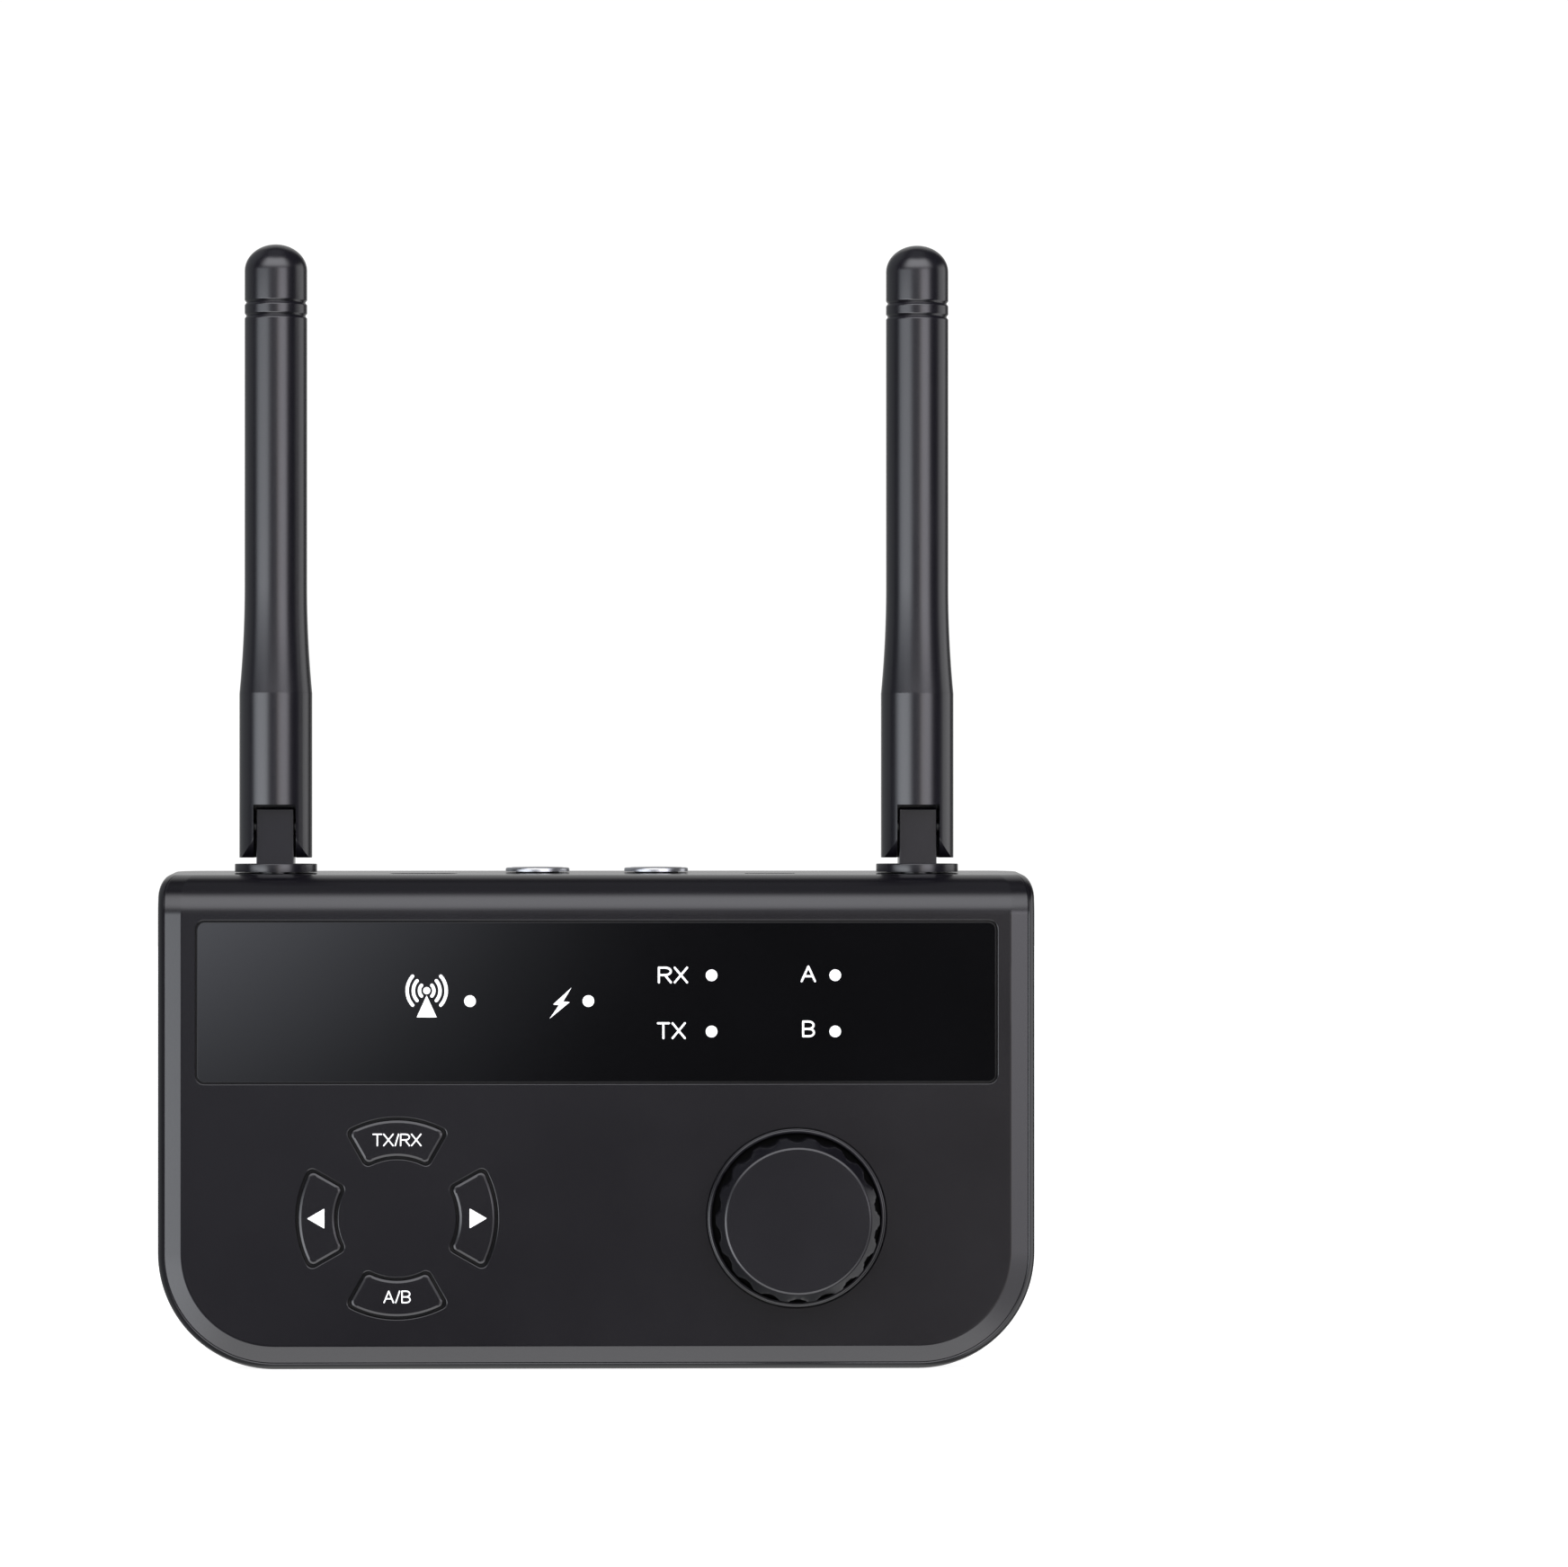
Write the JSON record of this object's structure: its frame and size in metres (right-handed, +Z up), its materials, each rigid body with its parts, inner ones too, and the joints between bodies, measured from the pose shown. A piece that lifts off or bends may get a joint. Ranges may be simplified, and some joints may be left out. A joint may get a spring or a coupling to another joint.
{
  "type": "wireless receiver unit",
  "caption": "Wedge-backed plastic audio receiver with a display window, sector buttons, a fluted volume knob, hinged stub antennas and headphone jacks.",
  "frame": {"origin": "centre of the base of the bounding box, at the level of the case's bottom edge", "axes": "+X to the right as the front is looked at, the front faces -Y, +Z up along the upright antennas"},
  "size_m": [0.1204, 0.0338, 0.1554],
  "materials": {
    "case_black": "fine satin grain",
    "antenna_black": "satin",
    "window_black": "polished, with white printed marks",
    "button_black": "satin, with white printed marks",
    "knob_black": "satin, moulded flutes",
    "chrome": "polished",
    "steel": "plain",
    "dark_steel": "blackened",
    "brass": "plain",
    "inner_plastic": "moulded",
    "board_green": "solder mask",
    "battery_wrap": "shrink wrap",
    "led_white": "diffused lamp"
  },
  "bodies": {
    "case": {"antenna_left_bushing": "inner_plastic", "antenna_right_bushing": "inner_plastic", "battery_pack": "battery_wrap", "board_screw_1": "steel", "board_screw_2": "steel", "board_screw_3": "steel", "board_screw_4": "steel", "case_screw_1": "steel", "case_screw_2": "steel", "case_screw_3": "steel", "case_screw_4": "steel", "display_window": "window_black", "encoder_body": "inner_plastic", "encoder_nut": "steel", "front_cover": "case_black", "indicator_led_1": "led_white", "indicator_led_2": "led_white", "indicator_led_3": "led_white", "indicator_led_4": "led_white", "indicator_led_5": "led_white", "indicator_led_6": "led_white", "jack_body_left": "inner_plastic", "jack_body_right": "inner_plastic", "jack_collar_left": "chrome", "jack_collar_right": "chrome", "knob_bezel": "knob_black", "main_board": "board_green", "power_switch_body": "inner_plastic", "rear_housing": "case_black", "rf_shield": "steel", "tact_switch_1": "inner_plastic", "tact_switch_2": "inner_plastic", "tact_switch_3": "inner_plastic", "tact_switch_4": "inner_plastic", "usb_c_receptacle": "steel"},
    "knob": {"knob": "knob_black", "encoder_shaft": "steel"},
    "power_switch_slider": {"power_switch_slider": "button_black"},
    "button_up": {"button_up": "button_black"},
    "button_down": {"button_down": "button_black"},
    "button_left": {"button_left": "button_black"},
    "button_right": {"button_right": "button_black"},
    "antenna_left_base": {"antenna_left_base": "antenna_black", "antenna_left_retaining_ring": "steel"},
    "antenna_left_mast": {"antenna_left_hinge_pin": "dark_steel", "antenna_left_sleeve": "antenna_black", "antenna_left_radome": "antenna_black", "antenna_left_element": "brass"},
    "antenna_right_base": {"antenna_right_base": "antenna_black", "antenna_right_retaining_ring": "steel"},
    "antenna_right_mast": {"antenna_right_hinge_pin": "dark_steel", "antenna_right_sleeve": "antenna_black", "antenna_right_radome": "antenna_black", "antenna_right_element": "brass"}
  },
  "joints": [
    {"name": "antenna_left_swivel", "type": "hinge", "parent": "case", "child": "antenna_left_base", "pos_m": [-0.04455, 0.00537, 0.068], "axis": [0, 0, 1], "range_deg": [-90, 90]},
    {"name": "antenna_left_fold", "type": "hinge", "parent": "antenna_left_base", "child": "antenna_left_mast", "pos_m": [-0.04455, 0.00537, 0.0744], "axis": [1, 0, 0], "range_deg": [0, 80]},
    {"name": "antenna_right_swivel", "type": "hinge", "parent": "case", "child": "antenna_right_base", "pos_m": [0.04455, 0.00537, 0.068], "axis": [0, 0, 1], "range_deg": [-90, 90]},
    {"name": "antenna_right_fold", "type": "hinge", "parent": "antenna_right_base", "child": "antenna_right_mast", "pos_m": [0.04455, 0.00537, 0.0744], "axis": [1, 0, 0], "range_deg": [0, 80]},
    {"name": "button_up_press", "type": "slide", "parent": "case", "child": "button_up", "axis": [0, 1, 0], "range_m": [0, 0.0005], "stiffness_N_per_m": 1000},
    {"name": "button_down_press", "type": "slide", "parent": "case", "child": "button_down", "axis": [0, 1, 0], "range_m": [0, 0.0005], "stiffness_N_per_m": 1000},
    {"name": "button_left_press", "type": "slide", "parent": "case", "child": "button_left", "axis": [0, 1, 0], "range_m": [0, 0.0005], "stiffness_N_per_m": 1000},
    {"name": "button_right_press", "type": "slide", "parent": "case", "child": "button_right", "axis": [0, 1, 0], "range_m": [0, 0.0005], "stiffness_N_per_m": 1000},
    {"name": "knob_turn", "type": "hinge", "parent": "case", "child": "knob", "pos_m": [0.0274, -0.00856, 0.0208], "axis": [0, 1, 0], "continuous": true},
    {"name": "power_switch_slide", "type": "slide", "parent": "case", "child": "power_switch_slider", "axis": [1, 0, 0], "range_m": [0, 0.002]}
  ]
}
